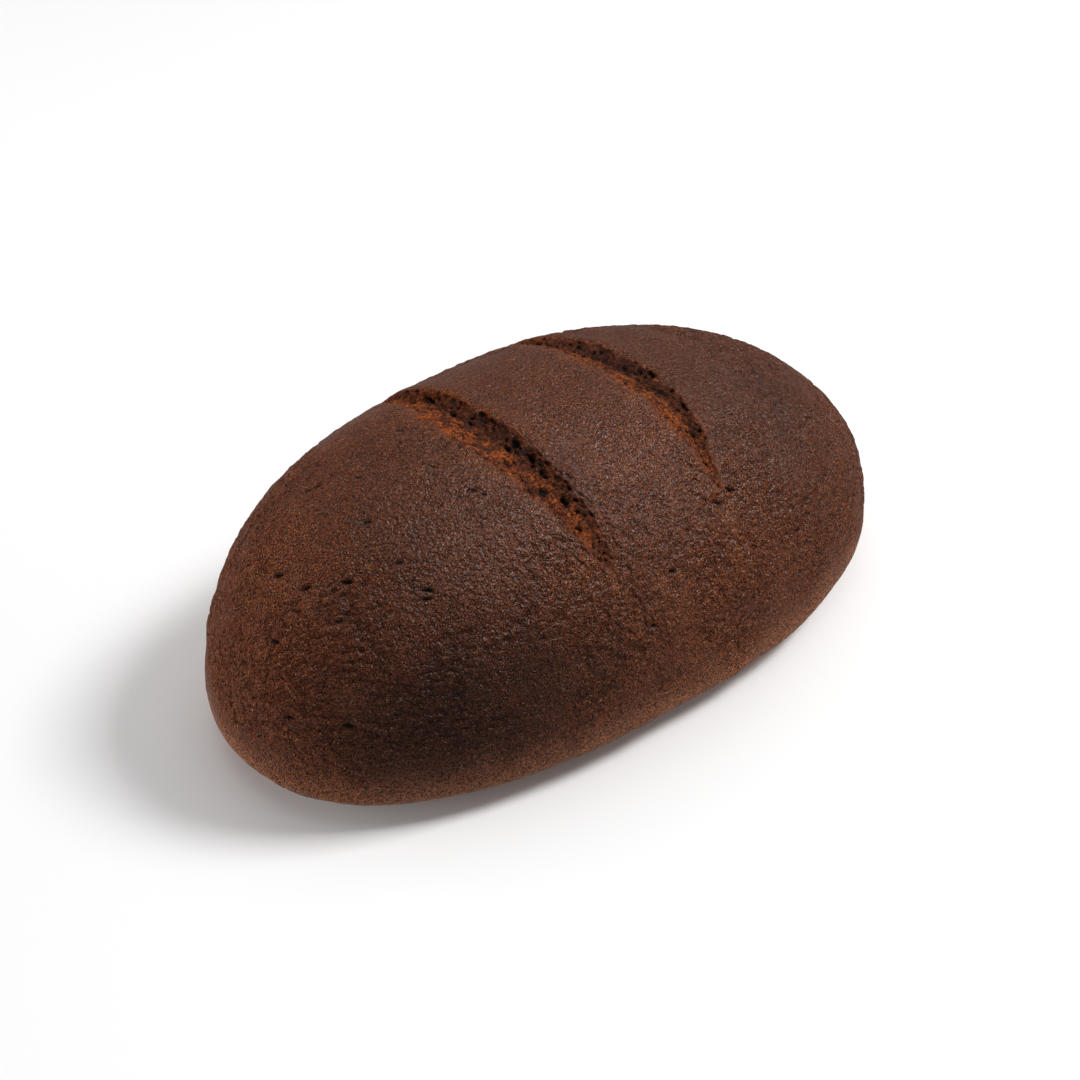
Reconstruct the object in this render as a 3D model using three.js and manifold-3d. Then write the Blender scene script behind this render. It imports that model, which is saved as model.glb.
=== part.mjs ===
/**
 * Oval dark rye loaf, baked as one piece on a flat oven floor, with two
 * slashes that opened across its crown.
 *
 * Millimetres, +Z up. The loaf's long axis is X, and the end towards -X is a
 * little taller and narrower than the end towards +X. The origin is in the
 * middle of the flat base.
 */
import * as THREE from 'three';
import { mergeVertices } from 'three/addons/utils/BufferGeometryUtils.js';
import Module from 'manifold-3d';

// Driving dimensions of the loaf.
const LENGTH = 200;
const WIDTH = 112;
const HEIGHT = 75; // at the middle of the crown
const BELLY_HEIGHT = 11.5; // the widest outline is this far above the base
const UNDERCURVE = 14.4; // how far the rounded underside would reach down if it weren't flat

// How square the loaf's curves are: 2 is an ellipse, larger is fuller.
const PLAN_FULLNESS = 2.29;
const CROWN_FULLNESS = 2.34;
const UNDERSIDE_FULLNESS = 2.66;

// How much wider and lower the loaf gets from its middle to its +X end.
const WIDER_AT_END = 0.04;
const LOWER_AT_END = 0.14;

const CRUST_DETAIL = 14; // splits of each face of the starting ball

// Each slash crosses the crown from +Y to -Y. `lean` and `bow` turn and bend
// its line: x = middle + lean * y + bow * y * y.
const SLASHES = [
  { middle: -25, lean: -0.11, bow: 0.0018, far: 41, near: -47, width: 13, depth: 3 },
  { middle: 23, lean: -0.11, bow: -0.0032, far: 41, near: -42, width: 11, depth: 2.7 },
];
const SLASH_STEPS = 28;
const SLASH_OPENING = 0.6; // how soon a slash is fully open from its tips: smaller is sooner
const SLASH_TIP = 0.08; // share of the width and depth left at a slash's two tips
const CUTTER_RISE = 3; // how far the cutter stands out of the crust

// A slash's section: places across it, in shares of its width from its middle,
// and how deep they are, in shares of its depth.
const SECTION_EDGE = 0.5;
const RAMP_BEND = { across: -0.15, deep: 0.95 };
const RAMP_END = { across: 0.15, deep: 1 };
const LIP_BEND = { across: 0.42, deep: 1 };
const SECTION_CURVE_STEPS = 4;

const BASE_CUTTER_DEPTH = 40;
const BASE_CUTTER_MARGIN = 1.2; // its length and width, as shares of the loaf's

const MERGE_DISTANCE = 0.0001; // corners of a geometry closer than this are one
const SLOPE_STEP = 0.5; // the crown's slope is measured this far to each side

const wasm = await Module();
wasm.setup();

/** Turns a closed three.js geometry into a solid that can be cut. */
function solidFrom(geometry) {
  const bare = geometry.clone();
  bare.deleteAttribute('normal');
  bare.deleteAttribute('uv');
  const closed = mergeVertices(bare, MERGE_DISTANCE);
  return new wasm.Manifold(new wasm.Mesh({
    numProp: 3,
    vertProperties: new Float32Array(closed.attributes.position.array),
    triVerts: new Uint32Array(closed.index.array),
  }));
}

/** Turns a solid back into a three.js geometry. */
function geometryFrom(solid) {
  const mesh = solid.getMesh();
  const geometry = new THREE.BufferGeometry();
  geometry.setAttribute('position', new THREE.BufferAttribute(mesh.vertProperties, 3));
  geometry.setIndex(new THREE.BufferAttribute(mesh.triVerts, 1));
  geometry.computeVertexNormals();
  return geometry;
}

/** Moves every vertex of a geometry to where `place` puts it. */
function reshape(geometry, place) {
  const position = geometry.attributes.position;
  const point = new THREE.Vector3();
  for (let i = 0; i < position.count; i += 1) {
    point.copy(place(point.fromBufferAttribute(position, i)));
    position.setXYZ(i, point.x, point.y, point.z);
  }
  return geometry;
}

/** Applies the loaf's taper along X to a point of the even, untapered loaf. */
function taper(point) {
  const along = point.x / (LENGTH / 2);
  point.y *= 1 + WIDER_AT_END * along;
  if (point.z > 0) {
    point.z *= 1 - LOWER_AT_END * along;
  }
  point.z += BELLY_HEIGHT;
  return point;
}

/** Carries a point of the unit ball to the loaf's crust. */
function crustPoint(ball) {
  const isCrown = ball.z > 0;
  const fullness = isCrown ? CROWN_FULLNESS : UNDERSIDE_FULLNESS;
  const rise = isCrown ? HEIGHT - BELLY_HEIGHT : UNDERCURVE;
  const plan = Math.abs(ball.x) ** PLAN_FULLNESS + Math.abs(ball.y) ** PLAN_FULLNESS;
  const size = plan ** (fullness / PLAN_FULLNESS) + Math.abs(ball.z) ** fullness;
  const reach = size ** (-1 / fullness);
  const stretch = new THREE.Vector3(LENGTH / 2, WIDTH / 2, rise);
  return taper(ball.clone().multiplyScalar(reach).multiply(stretch));
}

/** The crust's height above the base at a place on the crown. */
function crownHeight(x, y) {
  const along = x / (LENGTH / 2);
  const across = y / (WIDTH / 2) / (1 + WIDER_AT_END * along);
  const plan = Math.abs(along) ** PLAN_FULLNESS + Math.abs(across) ** PLAN_FULLNESS;
  const left = Math.max(0, 1 - plan ** (CROWN_FULLNESS / PLAN_FULLNESS));
  const rise = (HEIGHT - BELLY_HEIGHT) * left ** (1 / CROWN_FULLNESS);
  return BELLY_HEIGHT + rise * (1 - LOWER_AT_END * along);
}

/** The direction straight out of the crust at a place on the crown. */
function crownNormal(x, y) {
  const span = 2 * SLOPE_STEP;
  const slopeX = (crownHeight(x + SLOPE_STEP, y) - crownHeight(x - SLOPE_STEP, y)) / span;
  const slopeY = (crownHeight(x, y + SLOPE_STEP) - crownHeight(x, y - SLOPE_STEP)) / span;
  return new THREE.Vector3(-slopeX, -slopeY, 1).normalize();
}

/** The domed oval body, rounded under and flat where it stood in the oven. */
function loafBody() {
  const crust = reshape(new THREE.IcosahedronGeometry(1, CRUST_DETAIL), crustPoint);
  const length = LENGTH * BASE_CUTTER_MARGIN;
  const width = WIDTH * BASE_CUTTER_MARGIN;
  const below = new THREE.BoxGeometry(length, width, BASE_CUTTER_DEPTH);
  below.translate(0, 0, -BASE_CUTTER_DEPTH / 2);
  return solidFrom(crust).subtract(solidFrom(below));
}

/** The line that a slash follows over the crown, from its far tip to its near tip. */
function slashPath({ middle, lean, bow, far, near }) {
  const points = [];
  for (let i = 0; i <= SLASH_STEPS; i += 1) {
    const y = THREE.MathUtils.lerp(far, near, i / SLASH_STEPS);
    const x = middle + lean * y + bow * y * y;
    points.push(new THREE.Vector3(x, y, crownHeight(x, y)));
  }
  return new THREE.CatmullRomCurve3(points);
}

/**
 * A slash's section, one unit wide and one deep: a long ramp down from the
 * -X side, a rounded floor, and a steep lip on the +X side.
 */
function slashSection() {
  const section = new THREE.Shape();
  section.moveTo(-SECTION_EDGE, 0);
  section.quadraticCurveTo(RAMP_BEND.across, -RAMP_BEND.deep, RAMP_END.across, -RAMP_END.deep);
  section.quadraticCurveTo(LIP_BEND.across, -LIP_BEND.deep, SECTION_EDGE, 0);
  section.lineTo(SECTION_EDGE, 1);
  section.lineTo(-SECTION_EDGE, 1);
  section.closePath();
  return section;
}

/** The solid that cuts one slash: its section drawn along its path, thin at both tips. */
function slashCutter(slash) {
  const path = slashPath(slash);
  const straight = new THREE.ExtrudeGeometry(slashSection(), {
    depth: 1,
    steps: SLASH_STEPS,
    curveSegments: SECTION_CURVE_STEPS,
    bevelEnabled: false,
  });
  return solidFrom(reshape(straight, (point) => {
    const along = THREE.MathUtils.clamp(point.z, 0, 1);
    const centre = path.getPointAt(along);
    const out = crownNormal(centre.x, centre.y);
    const sideways = out.clone().cross(path.getTangentAt(along)).normalize();
    const open = Math.max(SLASH_TIP, Math.sin(Math.PI * along) ** SLASH_OPENING);
    const rise = point.y > 0 ? CUTTER_RISE : slash.depth * open;
    centre.addScaledVector(sideways, point.x * slash.width * open);
    return centre.addScaledVector(out, point.y * rise);
  }));
}

/** The whole loaf, slashed. */
function loaf() {
  let solid = loafBody();
  for (const slash of SLASHES) {
    solid = solid.subtract(slashCutter(slash));
  }
  const crustMaterial = new THREE.MeshStandardMaterial({
    color: 0x3b1d14,
    roughness: 0.6,
    metalness: 0,
  });
  const mesh = new THREE.Mesh(geometryFrom(solid), crustMaterial);
  mesh.name = 'loaf';
  return mesh;
}

const loafGroup = new THREE.Group();
loafGroup.add(loaf());

export default loafGroup;
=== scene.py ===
"""An oval dark rye loaf with two open slashes: its crust and crumb, the studio and the camera."""
import math

import bpy
import numpy as np
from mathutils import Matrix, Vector, noise


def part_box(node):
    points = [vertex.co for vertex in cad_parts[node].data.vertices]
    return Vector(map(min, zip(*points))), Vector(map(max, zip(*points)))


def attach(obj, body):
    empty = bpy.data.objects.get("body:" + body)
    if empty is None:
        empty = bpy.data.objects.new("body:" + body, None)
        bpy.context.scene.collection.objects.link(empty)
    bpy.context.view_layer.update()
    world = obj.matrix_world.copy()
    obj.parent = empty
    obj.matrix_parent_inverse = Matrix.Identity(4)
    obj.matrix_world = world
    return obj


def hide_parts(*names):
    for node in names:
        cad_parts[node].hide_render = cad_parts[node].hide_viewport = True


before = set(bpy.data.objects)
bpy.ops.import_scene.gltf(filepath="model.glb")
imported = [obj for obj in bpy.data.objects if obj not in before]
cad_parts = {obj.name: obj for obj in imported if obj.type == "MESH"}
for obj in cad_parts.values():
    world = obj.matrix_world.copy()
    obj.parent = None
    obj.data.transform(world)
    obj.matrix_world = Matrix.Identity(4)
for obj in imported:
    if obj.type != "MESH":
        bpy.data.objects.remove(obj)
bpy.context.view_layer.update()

MM = 0.001

# ---------------------------------------------------------------------------
# The loaf's form. Its size comes from the frame, and these numbers shape it.
# ---------------------------------------------------------------------------
loaf_low, loaf_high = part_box("loaf")
HALF_LENGTH = (loaf_high.x - loaf_low.x) / 2
HALF_WIDTH = (loaf_high.y - loaf_low.y) / 2
MIDDLE_HEIGHT = 0.986 * loaf_high.z  # the crown slopes, and is a little higher towards -X
BELLY_HEIGHT = 0.153 * MIDDLE_HEIGHT  # where the outline is widest
UNDERCURVE = 1.25 * BELLY_HEIGHT  # how far the underside would reach down if it weren't flat
BASE_EDGE = 1.6 * MM  # softness of the edge round the flat base

PLAN_FULLNESS = 2.29  # 2 is an ellipse, and larger is squarer
CROWN_FULLNESS = 2.34
UNDERSIDE_FULLNESS = 2.66
WIDER_AT_END = 0.04  # how much wider and lower the loaf gets from its middle to its +X end
LOWER_AT_END = 0.14

# The two slashes, from +Y to -Y: x = middle + lean * y + bow * y * y.
SLASHES = [
    dict(middle=-25 * MM, lean=-0.11, bow=1.8, far=41 * MM, near=-47 * MM,
         width=13 * MM, depth=3.0 * MM, seed=3),
    dict(middle=23 * MM, lean=-0.11, bow=-3.2, far=41 * MM, near=-42 * MM,
         width=11 * MM, depth=2.7 * MM, seed=11),
]

# Mesh spacing. The slashes need the finest, and the hidden base the least.
CROWN_STEP = 0.45 * MM
SIDE_STEP = 0.65 * MM
UNDER_STEP = 1.2 * MM
BASE_STEP = 3.0 * MM
LENGTH_STEP = 0.62 * MM
SLASH_STEP = 0.28 * MM

# Where the spacing changes: heights as shares of the middle height, and the distance from a
# slash's middle line, with the shares of it over which the change is spread.
CROWN_HEIGHTS = (0.5, 0.65)
UNDER_HEIGHTS = (0.04, 0.12)
FLAT_HEIGHT = 0.1 * MM  # lower than this, the grid lies in the flat base
SLASH_ZONE = 8.5 * MM
ZONE_SPREAD = (0.8, 1.2)
RINGS_STRAIGHTEN = (0.35, 0.95)  # from here to here along each half, the rings stop following slashes
POLE_GAP = math.radians(0.25)  # angle left open round the tips of the loaf

# How finely curves are sampled before they are divided into even steps.
COLUMN_SAMPLES = 7201
RING_SAMPLES = 8001
LINE_SAMPLES = 3001
LEAST_NORMAL = 1e-12  # stops a division by nothing


def smoothstep(low, high, value):
    """0 below low, 1 above high, and a smooth rise between."""
    share = np.clip((value - low) / (high - low), 0, 1)
    return share * share * (3 - 2 * share)


def crust_point(along, around):
    """Points of the smooth loaf. `along` runs from -90 degrees at the -X tip to 90 at the +X tip.
    `around` runs from -90 under the loaf, by 0 at its +Y side and 90 at the crown, to 270."""
    ball = np.stack([
        np.sin(along) * np.ones_like(around),
        np.cos(along) * np.cos(around),
        np.cos(along) * np.sin(around),
    ], -1)
    above = ball[..., 2] > 0
    fullness = np.where(above, CROWN_FULLNESS, UNDERSIDE_FULLNESS)
    rise = np.where(above, MIDDLE_HEIGHT - BELLY_HEIGHT, UNDERCURVE)
    plan = np.abs(ball[..., 0]) ** PLAN_FULLNESS + np.abs(ball[..., 1]) ** PLAN_FULLNESS
    size = plan ** (fullness / PLAN_FULLNESS) + np.abs(ball[..., 2]) ** fullness
    x, y, z = np.moveaxis(ball * size[..., None] ** (-1 / fullness[..., None]), -1, 0)
    y = y * HALF_WIDTH * (1 + WIDER_AT_END * x)
    z = z * rise * np.where(above, 1 - LOWER_AT_END * x, 1) + BELLY_HEIGHT
    z = np.where(z < BASE_EDGE, np.clip(z + BASE_EDGE, 0, None) ** 2 / (4 * BASE_EDGE), z)
    return np.stack([x * HALF_LENGTH, y, z], -1)


def uneven_steps(table, points, spacing):
    """Values of `table` along the path `points`, that far apart in space."""
    lengths = np.linalg.norm(np.diff(points, axis=0), axis=-1)
    steps = np.concatenate([[0], np.cumsum(lengths * 2 / (spacing[1:] + spacing[:-1]))])
    count = round(steps[-1])
    return np.interp(np.linspace(0, steps[-1], count + 1), steps, table)


def slash_x(slash, y):
    """Where a slash's middle line lies."""
    return slash["middle"] + slash["lean"] * y + slash["bow"] * y * y


def sway(x, y):
    """How far the mesh's rings lean in x, so that they run along the slashes."""
    left, right = SLASHES
    share = np.clip((x - left["middle"]) / (right["middle"] - left["middle"]), 0, 1)
    lean = (1 - share) * (slash_x(left, y) - left["middle"])
    lean = lean + share * (slash_x(right, y) - right["middle"])
    return lean * (1 - smoothstep(*RINGS_STRAIGHTEN, np.abs(x) / HALF_LENGTH))


def loaf_columns():
    """The angles round the loaf at which the mesh has points, closest over the crown."""
    table = np.radians(np.linspace(-90, 270, COLUMN_SAMPLES))
    points = crust_point(np.zeros_like(table), table)
    height = points[:, 2] / MIDDLE_HEIGHT
    spacing = SIDE_STEP + (CROWN_STEP - SIDE_STEP) * smoothstep(*CROWN_HEIGHTS, height)
    spacing += (UNDER_STEP - SIDE_STEP) * (1 - smoothstep(*UNDER_HEIGHTS, height))
    spacing += (BASE_STEP - UNDER_STEP) * (points[:, 2] < FLAT_HEIGHT)
    return uneven_steps(table, points, spacing)[:-1]


def loaf_rings():
    """The places along the crown, as x, at which the mesh has rings, closest at the slashes."""
    end = math.pi / 2 - POLE_GAP
    table = np.linspace(-end, end, RING_SAMPLES)
    points = crust_point(table, np.full_like(table, math.pi / 2))
    away = np.min([np.abs(points[:, 0] - s["middle"]) for s in SLASHES], axis=0)
    near = 1 - smoothstep(SLASH_ZONE * ZONE_SPREAD[0], SLASH_ZONE * ZONE_SPREAD[1], away)
    spacing = LENGTH_STEP + (SLASH_STEP - LENGTH_STEP) * near
    return uneven_steps(points[:, 0], points, spacing)


def smooth_grid():
    """The smooth loaf as a grid of points, rings by columns, whose rings follow the slashes."""
    columns = loaf_columns()
    rings = loaf_rings()
    end = math.pi / 2 - POLE_GAP / 2
    table = np.linspace(-end, end, LINE_SAMPLES)
    along = np.empty((len(rings), len(columns)))
    for j, angle in enumerate(columns):
        line = crust_point(table, np.full_like(table, angle))
        along[:, j] = np.interp(rings, line[:, 0] - sway(line[:, 0], line[:, 1]), table)
    return crust_point(along, np.broadcast_to(columns, along.shape))


def grid_normals(points):
    """Outward normals of a grid whose columns go all the way round."""
    down = np.gradient(points, axis=0)
    across = np.roll(points, -1, axis=1) - np.roll(points, 1, axis=1)
    normals = np.cross(across, down)
    return normals / np.maximum(np.linalg.norm(normals, axis=-1, keepdims=True), LEAST_NORMAL)


# ---------------------------------------------------------------------------
# Seeded noise, from which the relief below is made. Its steps per seed move it
# to another part of the same noise.
# ---------------------------------------------------------------------------
EVEN = (1, 1, 1)
NOISE_STEP = 17.3
CELL_STEP = 9.7
CELL_MIX = 37.0  # spreads neighbouring cells' random numbers


def bumps(points, size, seed, stretch=EVEN):
    """Smooth noise from about -1 to 1, with bumps about `size` across."""
    scaled = points / (np.array(stretch) * size) + NOISE_STEP * (seed + 1)
    flat = scaled.reshape(-1, 3).tolist()
    return np.array([noise.noise(p) for p in flat]).reshape(points.shape[:-1])


def waves(points, table):
    """The sum of several smooth noises, each given as its height, size, seed and stretch."""
    return sum(height * bumps(points, size, seed, stretch) for height, size, seed, stretch in table)


def cells(points, size, seed):
    """Distances, in cell sizes, to the nearest of scattered points, and a random number from 0
    to 1 that belongs to that nearest point."""
    flat = (points.reshape(-1, 3) / size + CELL_STEP * (seed + 1)).tolist()
    found = [noise.voronoi(p) for p in flat]
    nearest = np.array([distances[0] for distances, _ in found])
    chance = np.array([noise.cell(spots[0] * CELL_MIX) for _, spots in found])  # from -1 to 1
    return nearest, chance * 0.5 + 0.5


# ---------------------------------------------------------------------------
# The slashes. Shares of a slash's width run from 0 at its -X edge, where the
# crumb slopes down as a ramp, to 1 at its +X edge, where the crust is a lip.
# ---------------------------------------------------------------------------
SLASH_OPENING = 0.6  # how soon a slash is fully open from its tips: smaller is sooner
CROWN_LIMIT = 0.4 * MIDDLE_HEIGHT  # the slashes stay above this height
EDGE_WANDER = 0.5 * MM  # how far a slash's edges wander from a smooth line
LEFT_WAVES = (5 * MM, 1.5 * MM)
RIGHT_WAVES = (7 * MM, 2 * MM)
LEAST_WIDTH = 0.001 * MM  # stops a division by nothing

RAMP_START = -0.12
DEEPEST = 0.66  # where the ramp ends and the wall under the lip starts to rise
WALL_END = 1.02
# Where a slash heals, the painted shade by its lip weakens too.
HEALED = (0.4, 0.95)  # from here to here along it, a slash gets shallower and paler
HEALED_LOSS = 0.5

LIP_RISE = 0.8 * MM
LIP_REACH = 5.0 * MM
LIP_ROUNDING = 1.8 * MM
LIP_UNDERCUT = 0.4 * MM
UNDERCUT_PLACE = 0.9
UNDERCUT_WIDTH = 0.09

# The frayed border between crumb and crust: the fray's waves, and how far past each edge of
# the slash, into it or out of it, the border is spread.
FRAY_WAVES = [(1.6, 3.4 * MM), (1.0, 1.4 * MM)]
LEFT_BORDER = (-0.6 * MM, 1.8 * MM)
RIGHT_BORDER = (-1.2 * MM, 0.4 * MM)
RIGHT_FRAY = 0.6
CRUMB_OPENING = (0.02, 0.3)  # how far open a slash is where its crumb begins to show

# Painted shade on the crumb rises over these shares of the width, towards the lip.
SHADED_SHARES = (0.38, 0.88)
SHADED_FRAY = 60  # shares of the width per metre of fray

TRAIL_START = -8 * MM
TRAIL_LENGTH = 18 * MM  # how far a slash shows as a faint tear beyond its near end
TRAIL_WIDTH = 2.2 * MM
TRAIL_FRAY = 0.5
TRAIL_OVERLAP = 0.3  # the trail also lies under this share of the slash
TORN_EDGE = 0.45  # how torn the crust is along a slash's -X edge
TORN_EDGE_OFFSET = 1.0 * MM
TORN_EDGE_WIDTH = 1.6 * MM


def bell(value, width):
    """1 at zero, falling smoothly to nothing beyond about twice the width."""
    return np.exp(-(value / width) ** 2)


class SlashPlace:
    """Where points lie at one slash."""

    def __init__(self, slash, points):
        x, y, z = np.moveaxis(points, -1, 0)
        seed = slash["seed"]
        length = slash["far"] - slash["near"]
        along = (slash["far"] - y) / length
        opening = np.sin(np.pi * np.clip(along, 0, 1)) ** SLASH_OPENING
        self.on_crown = z > CROWN_LIMIT
        self.opening = opening * self.on_crown  # from 0, closed, to 1, fully open
        self.loose = np.minimum(self.opening * 2, 1)  # how free its edges are to wander

        line = np.stack([np.zeros_like(y), y, np.zeros_like(y)], -1)
        half = slash["width"] / 2 * self.opening
        left_waves = sum(bumps(line, size, seed) for size in LEFT_WAVES)
        right_coarse, right_fine = RIGHT_WAVES
        right_waves = bumps(line, right_coarse, seed + 1) + bumps(line, right_fine, seed)
        left = half + EDGE_WANDER * self.loose * left_waves
        right = half + EDGE_WANDER * self.loose * right_waves
        self.across = x - slash_x(slash, y)  # from its middle line, towards +X
        self.past_left = self.across + left
        self.past_right = self.across - right
        self.share = self.past_left / np.maximum(left + right, LEAST_WIDTH)
        self.kept = 1 - HEALED_LOSS * smoothstep(*HEALED, along)
        self.beyond = slash["near"] - y
        self.overlap = TRAIL_OVERLAP * length


def slash_moves(slash, at, normals):
    """How far a slash moves each point: its ramp and wall sink in, its lip stands up, and its
    wall tucks under the lip."""
    ramp = smoothstep(RAMP_START, DEEPEST, at.share)
    wall = 1 - smoothstep(DEEPEST, WALL_END, at.share)
    sunk = slash["depth"] * at.kept * at.opening * ramp * wall
    lip = bell(np.clip(at.past_right, 0, None), LIP_REACH)
    lip = lip * smoothstep(-LIP_ROUNDING, LIP_ROUNDING, at.past_right)
    tuck = LIP_UNDERCUT * at.opening * bell(at.share - UNDERCUT_PLACE, UNDERCUT_WIDTH)
    towards_lip = np.array([1.0, 0.0, 0.0])
    return normals * (LIP_RISE * at.opening * lip - sunk)[..., None], towards_lip * tuck[..., None]


def slash_shades(slash, at, points):
    """How far each point is in a slash's crumb, how near it is to the shaded lip, and how torn
    the crust is round it, from 0 to 1."""
    fray = sum(share * bumps(points, size, slash["seed"]) for share, size in FRAY_WAVES)
    fray = at.loose * MM * fray
    inside = smoothstep(*LEFT_BORDER, at.past_left + fray)
    inside = inside * (1 - smoothstep(*RIGHT_BORDER, at.past_right + RIGHT_FRAY * fray))
    crumb = inside * smoothstep(*CRUMB_OPENING, at.opening)
    # Painted shade on the crumb by the lip.
    shaded = smoothstep(*SHADED_SHARES, at.share + SHADED_FRAY * fray) * inside * at.kept

    fading = 1 - smoothstep(TRAIL_START, TRAIL_LENGTH, at.beyond)
    trail = bell(at.across + TRAIL_FRAY * fray, TRAIL_WIDTH) * fading * (at.beyond > -at.overlap)
    edge = TORN_EDGE * bell(at.past_left + TORN_EDGE_OFFSET + fray, TORN_EDGE_WIDTH) * at.opening
    return crumb, shaded, np.maximum(trail * at.on_crown, edge)


def open_slashes(points, normals):
    """Opens the slashes in the smooth loaf. Also returns the highest of the slashes' shades."""
    moved = points.copy()
    shades = np.zeros((3, *points.shape[:-1]))
    for slash in SLASHES:
        at = SlashPlace(slash, points)
        for move in slash_moves(slash, at, normals):
            moved += move
        shades = np.maximum(shades, slash_shades(slash, at, points))
    return moved, shades


# ---------------------------------------------------------------------------
# The crumb's pores.
# ---------------------------------------------------------------------------
# Each size of pore: cell size, radius in cells, depth, and the share of cells that hold one
# on the open ramp and by the shaded lip.
PORES = [
    (3.4 * MM, 0.26, 1.3 * MM, 0.38, 0.55),
    (1.7 * MM, 0.32, 0.8 * MM, 0.42, 0.55),
    (1.0 * MM, 0.40, 0.4 * MM, 0.60, 0.65),
]
DEEPEST_PORE = max(depth for _, _, depth, _, _ in PORES)
PORE_STRETCH = (1.15, 0.6, 1.15)  # pores are drawn out along the slash
PORE_WALL = (0.5, 1.2)  # shares of the radius over which a pore's wall is spread
PORE_WOBBLE = 0.30  # of a cell, which makes the pores uneven
PORE_WOBBLE_SIZE = 0.45  # of a cell
PORE_WOBBLE_SEED = 5
# The least painted shade a pore gets, before its depth adds more.
PALEST_PORE = 0.35
CRUMB_WAVES = [(0.40 * MM, 2.6 * MM, 4, EVEN), (0.30 * MM, 1.2 * MM, 6, EVEN)]
LEAST_CRUMB = 0.02  # less than this is crust, and has no pores


def crumb_relief(points, crumb, shaded):
    """How far the torn crumb stands out or sinks in, and the painted shade in its pores."""
    where = crumb > LEAST_CRUMB
    spots = points[where]
    total = waves(spots, CRUMB_WAVES)
    shade = np.zeros(len(spots))
    for index, (size, radius, depth, open_share, lip_share) in enumerate(PORES):
        nearest, chance = cells(spots * PORE_STRETCH, size, index)
        wobble = PORE_WOBBLE * bumps(spots, size * PORE_WOBBLE_SIZE, index + PORE_WOBBLE_SEED)
        wanted = open_share + (lip_share - open_share) * shaded[where]
        pore = 1 - smoothstep(radius * PORE_WALL[0], radius * PORE_WALL[1], nearest + wobble)
        pore = pore * (chance < wanted)
        total -= depth * pore
        # Painted shade in the pore, less in shallow ones.
        shade = np.maximum(shade, pore * min(1, PALEST_PORE + depth / DEEPEST_PORE))
    height = np.zeros(crumb.shape)
    painted_shade = np.zeros(crumb.shape)
    height[where] = total * crumb[where]
    painted_shade[where] = shade * crumb[where]
    return height, painted_shade


# ---------------------------------------------------------------------------
# The crust's unevenness, wrinkles and pits.
# ---------------------------------------------------------------------------
BROAD_WAVES = [(0.55 * MM, 34 * MM, 1, EVEN), (0.3 * MM, 13 * MM, 2, EVEN)]
ROLL_WAVES = [(0.20 * MM, 6 * MM, 3, (1.3, 1.3, 0.8))]
PEBBLE_WAVES = [(0.20 * MM, 1.9 * MM, 12, EVEN), (0.09 * MM, 1.2 * MM, 13, EVEN)]
RIDGE_WAVES = [(0.24 * MM, 2.9 * MM, 15, (1.5, 1.5, 0.8))]

# Creases run where a noise passes through zero, after the crust has been shifted about.
CREASE_SHIFT = 0.9 * MM
CREASE_SHIFT_SIZE = 3 * MM
CREASE_SHIFT_SEEDS = (7, 8, 9)
CREASE_SIZE = 2.3 * MM
CREASE_SEED = 10
CREASE_STRETCH = (1.6, 1.6, 0.8)
CREASE_WIDTH = 0.22
CREASE_DEPTH = 0.45 * MM

# Wrinkles are strongest in patches and in a band round the sides of the loaf. Its two edges
# are spread over shares of the middle height.
BAND_FOOT = (0.15, 0.45)
BAND_TOP = (0.75, 0.98)
WRINKLE_PATCH_SIZE = 16 * MM
WRINKLE_PATCH_SEED = 14
WRINKLE_BAND = 0.8
WRINKLE_LEVEL = 0.35
WRINKLE_RISE = (-0.25, 0.45)
PEBBLES_ANYWHERE = 0.3
PEBBLES_IN_WRINKLES = 0.8


def crust_relief(points):
    """How far the crust stands out or sinks in: broad unevenness, and fine crinkles and pebbling."""
    shift = [bumps(points, CREASE_SHIFT_SIZE, seed) for seed in CREASE_SHIFT_SEEDS]
    shifted = points + CREASE_SHIFT * np.stack(shift, -1)
    crease = np.abs(bumps(shifted, CREASE_SIZE, CREASE_SEED, CREASE_STRETCH))
    height = points[..., 2] / MIDDLE_HEIGHT
    band = smoothstep(*BAND_FOOT, height) * (1 - smoothstep(*BAND_TOP, height))
    patches = bumps(points, WRINKLE_PATCH_SIZE, WRINKLE_PATCH_SEED)
    wrinkled = smoothstep(*WRINKLE_RISE, patches + WRINKLE_BAND * band - WRINKLE_LEVEL)
    crinkle = -CREASE_DEPTH * wrinkled * (1 - smoothstep(0.0, CREASE_WIDTH, crease))
    pebbled = PEBBLES_ANYWHERE + PEBBLES_IN_WRINKLES * wrinkled
    fine = waves(points, ROLL_WAVES) + crinkle + waves(points, PEBBLE_WAVES) * pebbled
    return waves(points, BROAD_WAVES), fine + waves(points, RIDGE_WAVES) * wrinkled


# Each kind of pit: how many, half its length and width, its depth, and how strong the painted shade
# in it is.
PITS = [
    (40, 1.1 * MM, 0.40 * MM, 0.9 * MM, 1.0),
    (260, 0.7 * MM, 0.45 * MM, 0.3 * MM, 0.5),
]
PIT_SEED = 41
PIT_RUN = (0.79, -0.61, 0.0)  # the way the pits are drawn out
PIT_TURN = 0.15  # how much that way varies
PIT_SIZES = (0.7, 1.25)
PIT_MIDDLE = (-52 * MM, -18 * MM, 62 * MM)  # most are on the taller end
PIT_SPREAD = 34 * MM
PITS_ELSEWHERE = 0.08  # how likely a pit is far from there
PIT_LIMIT = 0.25 * MIDDLE_HEIGHT  # the pits stay above this height
PIT_CRUMB = 0.01  # more than this is crumb, and has no pits
PIT_REACH = 3.5  # in half lengths, beyond which a pit no longer matters
PIT_WALL = 1.5  # how steep its wall is
PIT_NARROWING = 0.7


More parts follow.
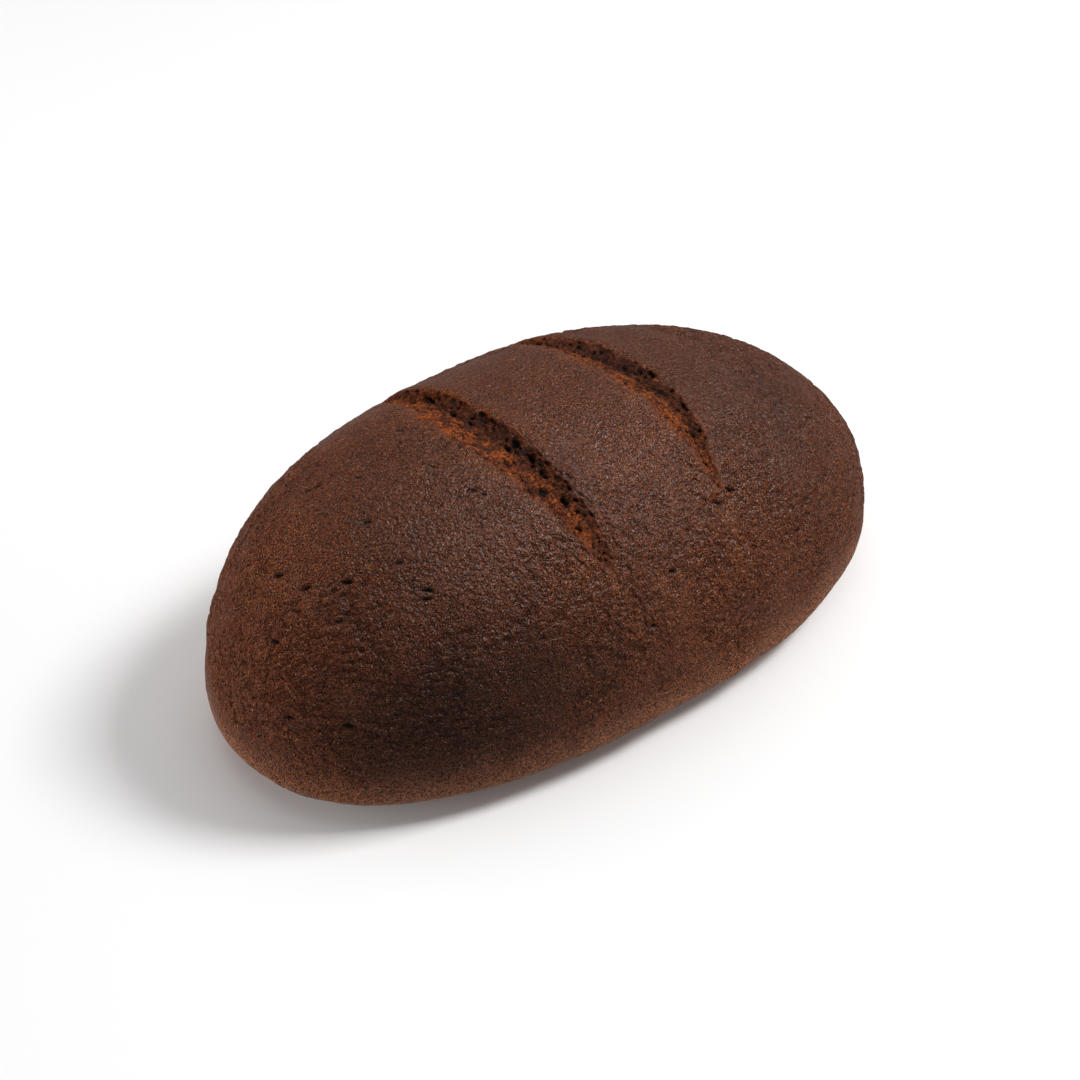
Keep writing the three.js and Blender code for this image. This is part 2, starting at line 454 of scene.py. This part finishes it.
def crust_pits(points, normals, crumb):
    """Small blisters left by gas, drawn out along the loaf: how deep, and how much painted shade they
    hold.
    """
    draw = np.random.default_rng(PIT_SEED)
    flat = points.reshape(-1, 3)
    outward = normals.reshape(-1, 3)
    sunk = np.zeros(len(flat))
    painted_shade = np.zeros(len(flat))
    free = np.flatnonzero((flat[:, 2] > PIT_LIMIT) & (crumb.reshape(-1) < PIT_CRUMB))
    away = (flat[free] - PIT_MIDDLE) / PIT_SPREAD
    weight = PITS_ELSEWHERE + np.exp(-(away * away).sum(axis=1))
    weight /= weight.sum()
    for count, half_length, half_width, depth, shade_strength in PITS:
        for centre in draw.choice(free, count, p=weight, replace=False):
            size = draw.uniform(*PIT_SIZES)
            second = np.cross(outward[centre], PIT_RUN + draw.normal(0, PIT_TURN, 3))
            second /= np.linalg.norm(second)
            first = np.cross(second, outward[centre])
            away = flat - flat[centre]
            near = np.flatnonzero((np.abs(away) < PIT_REACH * half_length).all(axis=1))
            a = away[near] @ first / (half_length * size)
            b = away[near] @ second / (half_width * size)
            hole = np.exp(-((a * a + b * b) ** PIT_WALL) * PIT_NARROWING)
            sunk[near] = np.maximum(sunk[near], depth * size * hole)
            painted_shade[near] = np.maximum(painted_shade[near], shade_strength * hole)
    return sunk.reshape(crumb.shape), painted_shade.reshape(crumb.shape)


BASE_BLEND = (0.2 * MM, 6 * MM)  # heights over which the relief fades out, to keep the base flat
RELIEF_SPAN = 0.6 * MM  # of fine relief, from its lowest shade to its highest


def finished_grid():
    """The finished surface, and the numbers from 0 to 1 at each point that its material reads."""
    smooth = smooth_grid()
    opened, (crumb, shaded, torn) = open_slashes(smooth, grid_normals(smooth))
    normals = grid_normals(opened)
    broad, fine = crust_relief(smooth)
    pit, pit_shade = crust_pits(smooth, normals, crumb)
    pore, pore_shade = crumb_relief(opened, crumb, shaded)
    standing = smoothstep(*BASE_BLEND, smooth[..., 2])
    height = (broad + (fine - pit) * (1 - crumb)) * standing + pore
    surface = opened + normals * height[..., None]
    surface[..., 2] = np.maximum(surface[..., 2], 0)
    shades = {
        "crumb": crumb,
        "shaded": shaded,
        "torn": torn,
        # Painted shade in the crumb's pores and the crust's pits.
        "hole": np.maximum(pore_shade, pit_shade * standing),
        # The relief value sets the painted shade in the crust's creases.
        "relief": np.clip(0.5 + fine / RELIEF_SPAN, 0, 1),
    }
    return surface, shades


# ---------------------------------------------------------------------------
# The mesh.
# ---------------------------------------------------------------------------
def path_share(points):
    """How far along a path each of its points is, from 0 to 1."""
    lengths = np.linalg.norm(np.diff(points, axis=0), axis=-1)
    travelled = np.concatenate([[0], np.cumsum(lengths)])
    return travelled / travelled[-1]


def grid_faces(ring_count, column_count):
    """The faces of a closed skin: four-sided ones between the rings of a grid, then a fan of
    triangles round the tip at each end. The tips come after the grid's own points."""
    first_tip = ring_count * column_count
    index = np.arange(first_tip).reshape(ring_count, column_count)
    after = np.roll(index, -1, axis=1)
    quads = np.stack([index[:-1], after[:-1], after[1:], index[1:]], -1).reshape(-1, 4)
    start_fan = np.stack([after[0], index[0], np.full(column_count, first_tip)], -1)
    end_fan = np.stack([index[-1], after[-1], np.full(column_count, first_tip + 1)], -1)
    return quads.tolist() + start_fan.tolist() + end_fan.tolist()


def grid_map(grid, tips):
    """The place on the flat map of each corner of the faces, in the order of `grid_faces`."""
    ring_count, column_count = grid.shape[:2]
    middle = grid[ring_count // 2]
    crown = np.argmax(middle[:, 2])
    around = path_share(np.concatenate([middle, middle[:1]]))
    along = path_share(np.concatenate([tips[:1], grid[:, crown], tips[1:]]))[1:-1]
    left, right = around[:-1], around[1:]
    half = (left + right) / 2
    low, high = along[:-1], along[1:]
    quad_shape = (ring_count - 1, column_count, 4)
    quad_u = np.broadcast_to(np.stack([left, right, right, left], -1), quad_shape)
    quad_v = np.broadcast_to(np.stack([low, low, high, high], -1)[:, None], quad_shape)
    start_u = np.stack([right, left, half], -1)
    start_v = np.tile([along[0], along[0], 0], (column_count, 1))
    end_u = np.stack([left, right, half], -1)
    end_v = np.tile([along[-1], along[-1], 1], (column_count, 1))
    pairs = [(quad_u, quad_v), (start_u, start_v), (end_u, end_v)]
    return np.concatenate([np.stack(pair, -1).reshape(-1, 2) for pair in pairs])


def closed_mesh(name, grid, shades):
    """A closed mesh from a grid of rings, with a tip at both ends, its map and its shades."""
    tips = np.stack([grid[0].mean(axis=0), grid[-1].mean(axis=0)])
    points = np.concatenate([grid.reshape(-1, 3), tips])
    mesh = bpy.data.meshes.new(name)
    mesh.from_pydata(points.tolist(), [], grid_faces(*grid.shape[:2]))
    mesh.shade_smooth()
    for shade, values in shades.items():
        tip_values = [values[0].mean(), values[-1].mean()]
        attribute = mesh.attributes.new(shade, "FLOAT", "POINT")
        numbers = np.concatenate([values.reshape(-1), tip_values])
        attribute.data.foreach_set("value", numbers.astype(np.float32))
    layer = mesh.uv_layers.new(name="OFBake")
    layer.data.foreach_set("uv", grid_map(grid, tips).astype(np.float32).reshape(-1))
    mesh.validate()
    piece = bpy.data.objects.new(name, mesh)
    bpy.context.scene.collection.objects.link(piece)
    return piece


# ---------------------------------------------------------------------------
# Materials.
# ---------------------------------------------------------------------------
class Nodes:
    """Short ways to add and join the shader nodes of one material."""

    def __init__(self, material):
        material.use_nodes = True
        self.tree = material.node_tree
        self.tree.nodes.clear()
        self.place = self.new("ShaderNodeTexCoord").outputs["Object"]

    def new(self, kind, **settings):
        node = self.tree.nodes.new(kind)
        for name, value in settings.items():
            setattr(node, name, value)
        return node

    def feed(self, socket, value):
        """Sets a socket to a number or colour, or joins another socket to it."""
        if isinstance(value, bpy.types.NodeSocket):
            self.tree.links.new(value, socket)
        else:
            socket.default_value = value

    def shade(self, name):
        """One of the numbers that the mesh holds at each point."""
        return self.new("ShaderNodeAttribute", attribute_name=name).outputs["Fac"]

    def split_place(self):
        node = self.new("ShaderNodeSeparateXYZ")
        self.feed(node.inputs[0], self.place)
        return node.outputs

    def sums(self, operation, first, second=0.0, third=0.0):
        """One step of arithmetic on numbers or sockets."""
        node = self.new("ShaderNodeMath", operation=operation)
        for socket, value in zip(node.inputs, (first, second, third)):
            self.feed(socket, value)
        return node.outputs[0]

    def noise(self, size, detail, roughness, place=None):
        node = self.new("ShaderNodeTexNoise")
        self.feed(node.inputs["Vector"], place or self.place)
        self.feed(node.inputs["Scale"], 1 / size)
        self.feed(node.inputs["Detail"], detail)
        self.feed(node.inputs["Roughness"], roughness)
        return node.outputs["Fac"]

    def ramp(self, value, low, high, to_low=0.0, to_high=1.0):
        """A smooth rise of `value` from low to high, as a number from to_low to to_high."""
        node = self.new("ShaderNodeMapRange", interpolation_type="SMOOTHSTEP")
        for socket, number in zip(node.inputs, (value, low, high, to_low, to_high)):
            self.feed(socket, number)
        return node.outputs["Result"]

    def spots(self, size, detail, roughness, place=None, **limits):
        """Noise sharpened into spots by a ramp with those limits."""
        return self.ramp(self.noise(size, detail, roughness, place), **limits)

    def mix(self, share, first, second):
        node = self.new("ShaderNodeMix", data_type="RGBA")
        self.feed(node.inputs["Factor"], share)
        self.feed(node.inputs["A"], first)
        self.feed(node.inputs["B"], second)
        return node.outputs["Result"]

    def scaled(self, colour, factor):
        """A colour made lighter or darker by a factor."""
        node = self.new("ShaderNodeVectorMath", operation="SCALE")
        self.feed(node.inputs[0], colour)
        self.feed(node.inputs["Scale"], factor)
        return node.outputs[0]

    def shifted(self, distance):
        """The place on the piece moved aside, so that two noises of one size differ."""
        node = self.new("ShaderNodeVectorMath", operation="ADD")
        self.feed(node.inputs[0], self.place)
        self.feed(node.inputs[1], (distance, distance, distance))
        return node.outputs[0]

    def distance(self, middle, stretch):
        """How far the place is from a middle, in a space scaled by `stretch`."""
        scaled = self.new("ShaderNodeVectorMath", operation="MULTIPLY")
        self.feed(scaled.inputs[0], self.place)
        self.feed(scaled.inputs[1], stretch)
        node = self.new("ShaderNodeVectorMath", operation="DISTANCE")
        self.feed(node.inputs[0], scaled.outputs[0])
        self.feed(node.inputs[1], [a * b for a, b in zip(middle, stretch)])
        return node.outputs["Value"]

    def bump(self, height, distance):
        node = self.new("ShaderNodeBump")
        self.feed(node.inputs["Height"], height)
        self.feed(node.inputs["Distance"], distance)
        return node.outputs["Normal"]

    def principled(self, colour, roughness, specular, normal=None):
        """The surface shader, joined to the material's output."""
        shader = self.new("ShaderNodeBsdfPrincipled")
        self.feed(shader.inputs["Base Color"], colour)
        self.feed(shader.inputs["Roughness"], roughness)
        self.feed(shader.inputs["Specular IOR Level"], specular)
        if normal is not None:
            self.feed(shader.inputs["Normal"], normal)
        output = self.new("ShaderNodeOutputMaterial")
        self.feed(output.inputs["Surface"], shader.outputs[0])


def rgb(red, green, blue):
    return (red, green, blue, 1.0)


CRUST_BROWN = rgb(0.073, 0.0172, 0.0050)
# Also the colour of the painted shade in the crust's creases.
CRUST_DARK_AND_SHADE = rgb(0.046, 0.0102, 0.0032)
CRUST_WARM = rgb(0.090, 0.0225, 0.0066)
CRUST_RUST = rgb(0.170, 0.049, 0.0120)
# Paler base colour: partly drier crust, partly painted light bounced from the floor.
BASE_DRY_AND_BOUNCE = rgb(0.240, 0.088, 0.0390)
# Pale flecks: partly flour specks, partly painted glints.
CRUST_FLECK_AND_GLINT = rgb(0.480, 0.285, 0.180)
CRUMB_ORANGE = rgb(0.240, 0.051, 0.0050)
CRUMB_BROWN = rgb(0.060, 0.0130, 0.0032)
# The colour of the painted shade on the crumb under the lip.
CRUMB_LIP_SHADE = rgb(0.036, 0.0080, 0.0024)
# The colour of the painted shade in pores and pits.
HOLE_SHADE_COLOUR = rgb(0.008, 0.0028, 0.0015)

# Patterns: the noise's size, detail and roughness, the values between which it rises, and
# what it rises from and to where that isn't 0 to 1.
MOTTLE = dict(size=24 * MM, detail=4, roughness=0.6, low=0.36, high=0.66)
CLOUDS = dict(size=8 * MM, detail=3, roughness=0.6, low=0.5, high=0.72, to_high=0.35)
FRECKLES = dict(size=1.5 * MM, detail=4, roughness=0.7, low=0.44, high=0.62)
FRECKLED = dict(size=8 * MM, detail=3, roughness=0.6, low=0.54, high=0.68, to_high=0.5)
GRIT = dict(size=0.36 * MM, detail=1, roughness=0.6, low=0.38, high=0.62, to_low=0.15, to_high=1.85)
# Pale flecks, partly flour specks and partly painted glints.
FLECKS_AND_GLINTS = dict(size=0.36 * MM, detail=0, roughness=0.5, low=0.64, high=0.88, to_high=0.5)
GLOSS = dict(size=22 * MM, detail=3, roughness=0.6, low=0.38, high=0.62, to_low=0.36, to_high=0.22)
CRUMB_MOTTLE = dict(size=3.2 * MM, detail=4, roughness=0.65, low=0.36, high=0.60)
SPECKS = dict(size=0.42 * MM, detail=1, roughness=0.5, low=0.32, high=0.68, to_low=0.4, to_high=1.6)
FLECK_SHIFT = 31.0 * MM

# Ramps of other values, in the same terms.
# Painted shade in the creases, where the fine relief is low.
CREASE_PAINTED_SHADE = dict(low=0.5, high=0.1, to_low=0.0, to_high=0.5)
# Paler towards the base: partly drier crust, partly painted floor-bounce light.
BASE_DRYING_AND_BOUNCE = dict(low=27 * MM, high=7 * MM, to_low=0.0, to_high=0.85)  # by height
CRUMB_PALING = dict(low=-48 * MM, high=10 * MM, to_low=0.45, to_high=1.0)  # by place along a slash
LIP_PAINTED_SHADE = dict(low=0.1, high=0.9, to_low=0.0, to_high=0.82)
# Painted shade in the hollows of the crumb's grit, and painted light on its bumps.
CRUMB_RELIEF_SHADE = dict(low=0.36, high=0.64, to_low=0.3, to_high=1.8)
HOLE_PAINTED_SHADE = dict(low=0.15, high=0.8)

TORN_FRECKLES = 0.5  # how rusty torn crust is in its freckles
TORN_BETWEEN = 0.5  # and how rusty it is everywhere
BASE_RAGGED = dict(size=9 * MM, detail=4, roughness=0.6)
BASE_RAGGED_HEIGHT = 10 * MM

# Darker patches of the crust: middle, stretch, radii where the darkening is full and
# where it ends, and the share of the colour left. The first is painted shade low on the -Y side,
# which the lamps leave dark; the others darken the crown near each end.
DARK_PATCHES = [
    ((-56 * MM, -44 * MM, 33 * MM), (0.55, 1.0, 1.2), 6 * MM, 34 * MM, 0.44),
    ((-52 * MM, -18 * MM, 60 * MM), (1.0, 1.0, 1.0), 10 * MM, 52 * MM, 0.82),
    ((52 * MM, -24 * MM, 56 * MM), (1.0, 0.8, 1.0), 6 * MM, 44 * MM, 0.70),
]

# Fine relief: the heights of its parts are shares of RELIEF_HEIGHT.
RELIEF_HEIGHT = 0.27 * MM
GRAIN = dict(size=0.42 * MM, detail=1, roughness=0.5)
FOLDS = dict(size=1.1 * MM, detail=1, roughness=0.5)
FOLD_HEIGHT = 3.0
CREASES = dict(size=2.2 * MM, detail=2, roughness=0.6)
CREASE_LEVEL = 0.5  # a crease runs where the noise has this value
CREASE_GROOVE = dict(low=0.0, high=0.05, to_low=-0.5, to_high=0.0)
CRUMB_GRIT = dict(size=0.9 * MM, detail=3, roughness=0.75)
CRUMB_GRIT_HEIGHT = 5.6

BREAD_SPECULAR = 0.27
CRUMB_DULLNESS = 0.55  # how much rougher the crumb is than the crust
FLOOR_COLOUR = rgb(0.84, 0.84, 0.84)
FLOOR_ROUGHNESS = 0.7
FLOOR_SPECULAR = 0.2


def leather(n):
    """The height of the crust's fine leathery grain: fine bumps, larger folds and thin creases."""
    folds = n.sums("MULTIPLY", n.noise(**FOLDS), FOLD_HEIGHT)
    grain = n.sums("ADD", n.noise(**GRAIN), folds)
    crease = n.sums("ABSOLUTE", n.sums("SUBTRACT", n.noise(**CREASES), CREASE_LEVEL))
    return n.sums("ADD", grain, n.ramp(crease, **CREASE_GROOVE))


def crust_colour(n):
    """Dark brown mottled crust with rusty freckles, painted shade in its creases and low on its -Y
    side, pale flecks that are partly painted glints, and a base that is paler, partly as drier crust
    and partly as painted light bounced from the floor.
    """
    colour = n.mix(n.spots(**MOTTLE), CRUST_BROWN, CRUST_WARM)
    colour = n.mix(n.spots(**CLOUDS), colour, CRUST_DARK_AND_SHADE)
    freckle = n.spots(**FRECKLES)
    rusty = n.sums("MULTIPLY", freckle, n.spots(**FRECKLED))
    torn = n.sums("MULTIPLY_ADD", freckle, TORN_FRECKLES, TORN_BETWEEN)
    torn = n.sums("MULTIPLY", n.shade("torn"), torn)
    colour = n.mix(n.sums("MAXIMUM", rusty, torn), colour, CRUST_RUST)
    # Painted shade in the creases of the fine relief.
    colour = n.mix(n.ramp(n.shade("relief"), **CREASE_PAINTED_SHADE), colour, CRUST_DARK_AND_SHADE)
    # Paler round the base: partly drier crust, partly painted light bounced from the floor.
    ragged = n.sums("MULTIPLY", n.noise(**BASE_RAGGED), BASE_RAGGED_HEIGHT)
    height = n.sums("ADD", n.split_place()["Z"], ragged)
    colour = n.mix(n.ramp(height, **BASE_DRYING_AND_BOUNCE), colour, BASE_DRY_AND_BOUNCE)
    colour = n.scaled(colour, n.spots(**GRIT))
    # Pale flecks, partly flour specks and partly painted glints.
    colour = n.mix(n.spots(**FLECKS_AND_GLINTS, place=n.shifted(FLECK_SHIFT)), colour, CRUST_FLECK_AND_GLINT)
    # Darker patches; the first is painted shade low on the -Y side.
    for middle, stretch, near, far, share in DARK_PATCHES:
        away = n.distance(middle, stretch)
        colour = n.scaled(colour, n.ramp(away, near, far, share, 1.0))
    return colour


def crumb_colour(n, grit):
    """Torn crumb: rusty orange on the open ramp, browner near its -Y end, with painted shade towards
    the lip and painted shade and light following the bumps of its grit.
    """
    paler = n.ramp(n.split_place()["Y"], **CRUMB_PALING)
    mottle = n.sums("MULTIPLY", n.spots(**CRUMB_MOTTLE), paler)
    colour = n.mix(mottle, CRUMB_BROWN, CRUMB_ORANGE)
    # Painted shade on the crumb under the lip.
    colour = n.mix(n.ramp(n.shade("shaded"), **LIP_PAINTED_SHADE), colour, CRUMB_LIP_SHADE)
    colour = n.scaled(colour, n.spots(**SPECKS))
    # Painted shade in the hollows and painted light on the bumps of the crumb's grit, following its
    # bump.
    return n.scaled(colour, n.ramp(grit, **CRUMB_RELIEF_SHADE))


def bread_material():
    """One baked surface: crust outside, and torn crumb where a slash has opened it."""
    material = bpy.data.materials.new("rye_bread")
    n = Nodes(material)
    crumb = n.shade("crumb")
    grit = n.noise(**CRUMB_GRIT)
    colour = n.mix(crumb, crust_colour(n), crumb_colour(n, grit))
    # Painted shade in the crumb's pores and the crust's pits.
    colour = n.mix(n.ramp(n.shade("hole"), **HOLE_PAINTED_SHADE), colour, HOLE_SHADE_COLOUR)
    roughness = n.sums("ADD", n.spots(**GLOSS), n.sums("MULTIPLY", crumb, CRUMB_DULLNESS))
    height = n.new("ShaderNodeMix", data_type="FLOAT")
    n.feed(height.inputs["Factor"], crumb)
    n.feed(height.inputs["A"], leather(n))
    n.feed(height.inputs["B"], n.sums("MULTIPLY", grit, CRUMB_GRIT_HEIGHT))
    normal = n.bump(height.outputs["Result"], RELIEF_HEIGHT)
    n.principled(colour, roughness, BREAD_SPECULAR, normal)
    return material


def floor_material():
    material = bpy.data.materials.new("pale_floor")
    Nodes(material).principled(FLOOR_COLOUR, FLOOR_ROUGHNESS, FLOOR_SPECULAR)
    return material


# ---------------------------------------------------------------------------
# The studio.
# ---------------------------------------------------------------------------
FLOOR_HALF_SIDE = 3.0
LIGHT_DISTANCE = 1.2
WORLD_STRENGTH = 0.20

CAMERA_DISTANCE = 0.5
CAMERA_ELEVATION = math.radians(40)
CAMERA_TURN = math.radians(38.27)  # from +Y towards +X, the way the camera looks
CAMERA_TARGET = Vector((0, 0, 35 * MM))
CAMERA_LENS = 63.0
CAMERA_SHIFT = (-0.0098, -0.0246)
CAMERA_CLIP = 0.01


def add_floor():
    """A pale floor. The crust doesn't mirror it, because its front would turn grey."""
    side = FLOOR_HALF_SIDE
    mesh = bpy.data.meshes.new("floor")
    corners = [(-side, -side, 0), (side, -side, 0), (side, side, 0), (-side, side, 0)]
    mesh.from_pydata(corners, [], [(0, 1, 2, 3)])
    mesh.materials.append(floor_material())
    floor = bpy.data.objects.new("floor", mesh)
    bpy.context.scene.collection.objects.link(floor)
    floor.visible_glossy = False


def aim(thing, place, target):
    thing.location = place
    thing.rotation_euler = (Vector(target) - Vector(place)).to_track_quat("-Z", "Y").to_euler()


def seen_from(turn, elevation, distance):
    """A place at that distance. `turn` goes from the camera's side, 0 degrees, to its right, 90."""
    heading = CAMERA_TURN - math.radians(turn)
    level = math.cos(math.radians(elevation)) * distance
    height = math.sin(math.radians(elevation)) * distance
    return (-math.sin(heading) * level, -math.cos(heading) * level, height)


def add_softbox(name, turn, elevation, size, watts, shines=True):
    """A rectangular light aimed at the loaf. One that doesn't shine lights the loaf without
    showing in its gloss."""
    light = bpy.data.lights.new(name, "AREA")
    light.shape = "RECTANGLE"
    light.size, light.size_y = size
    light.energy = watts
    lamp = bpy.data.objects.new(name, light)
    bpy.context.scene.collection.objects.link(lamp)
    lamp.visible_glossy = shines
    aim(lamp, seen_from(turn, elevation, LIGHT_DISTANCE), (0, 0, MIDDLE_HEIGHT / 2))


def add_lights():
    """A softbox high at the camera's right, one overhead, and low ones at both sides."""
    add_softbox("key", turn=100, elevation=52, size=(0.34, 0.34), watts=12.5)
    add_softbox("overhead", turn=180, elevation=78, size=(1.2, 1.2), watts=4.6)
    add_softbox("left_low", turn=-96, elevation=7, size=(1.6, 0.28), watts=23.0, shines=False)
    add_softbox("right_low", turn=96, elevation=7, size=(1.6, 0.28), watts=8.0, shines=False)
    world = bpy.data.worlds.new("room")
    world.use_nodes = True
    background = world.node_tree.nodes["Background"]
    background.inputs["Color"].default_value = rgb(1.0, 1.0, 1.0)
    background.inputs["Strength"].default_value = WORLD_STRENGTH
    bpy.context.scene.world = world


def add_camera():
    data = bpy.data.cameras.new("camera")
    data.lens = CAMERA_LENS
    data.shift_x, data.shift_y = CAMERA_SHIFT
    data.clip_start = CAMERA_CLIP
    camera = bpy.data.objects.new("camera", data)
    bpy.context.scene.collection.objects.link(camera)
    level = math.cos(CAMERA_ELEVATION)
    forward = Vector((
        math.sin(CAMERA_TURN) * level,
        math.cos(CAMERA_TURN) * level,
        -math.sin(CAMERA_ELEVATION),
    ))
    aim(camera, CAMERA_TARGET - forward * CAMERA_DISTANCE, CAMERA_TARGET)
    bpy.context.scene.camera = camera


bpy.context.scene.view_settings.view_transform = "Standard"
add_camera()
add_lights()
add_floor()

surface, shades = finished_grid()
loaf = closed_mesh("loaf_crust", surface, shades)
loaf.data.materials.append(bread_material())
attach(loaf, "root")
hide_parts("loaf")
